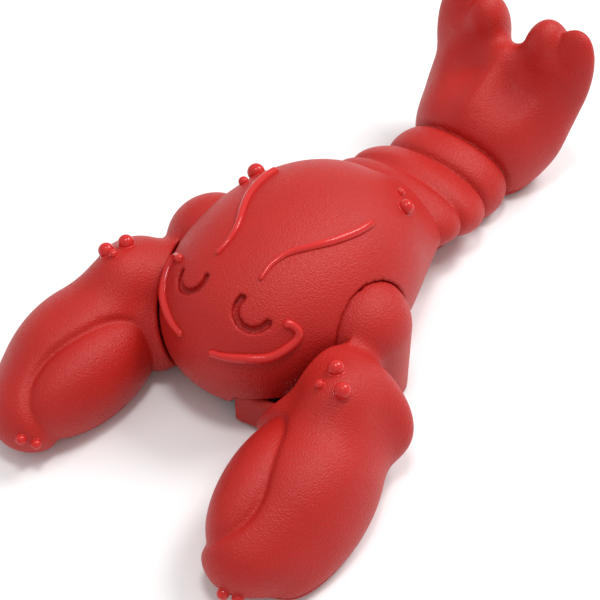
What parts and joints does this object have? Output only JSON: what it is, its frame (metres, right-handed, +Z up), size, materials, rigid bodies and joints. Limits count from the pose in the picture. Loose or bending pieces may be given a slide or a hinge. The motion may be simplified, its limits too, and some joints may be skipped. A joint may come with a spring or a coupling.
{
  "type": "lobster cracker",
  "caption": "Red lobster-shaped seafood cracker; its claws are two hinged handles that close toothed steel jaws under the head.",
  "frame": {"origin": "on the resting plane under the belly plate, midway between the two pivot pins", "axes": "+Z up, +X towards the lobster's left claw, -Y the way the lobster faces, so +Y runs towards the tail"},
  "size_m": [0.107, 0.1912, 0.0502],
  "materials": {
    "red_shell": "satin pebble grain, with polished beads and ridges",
    "steel": "brushed",
    "jaw_steel": "fine blasted",
    "fixings": "bright"
  },
  "bodies": {
    "body": {"carapace": "red_shell", "belly_plate": "red_shell", "tail_shell": "red_shell", "tail_cover": "red_shell", "upper_link_plate": "steel", "lower_link_plate": "steel", "link_spacers": "steel", "pivot_washers": "fixings", "link_screws": "fixings", "rear_screws": "fixings", "tail_screws": "fixings", "left_pivot_pin": "steel", "right_pivot_pin": "steel"},
    "left_lever": {"left_lever_core": "steel", "left_jaw": "jaw_steel", "left_jaw_rivets": "fixings", "left_claw_shell": "red_shell", "left_claw_cover": "red_shell", "left_claw_screws": "fixings"},
    "right_lever": {"right_lever_core": "steel", "right_jaw": "jaw_steel", "right_jaw_rivets": "fixings", "right_claw_shell": "red_shell", "right_claw_cover": "red_shell", "right_claw_screws": "fixings"}
  },
  "joints": [
    {"name": "left_lever_pivot", "type": "hinge", "parent": "body", "child": "left_lever", "pos_m": [0.024, 0, 0.0075], "axis": [0, 0, 1], "range_deg": [-12, 12]},
    {"name": "right_lever_pivot", "type": "hinge", "parent": "body", "child": "right_lever", "pos_m": [-0.024, 0, 0.0075], "axis": [0, 0, -1], "range_deg": [0, 24]}
  ]
}
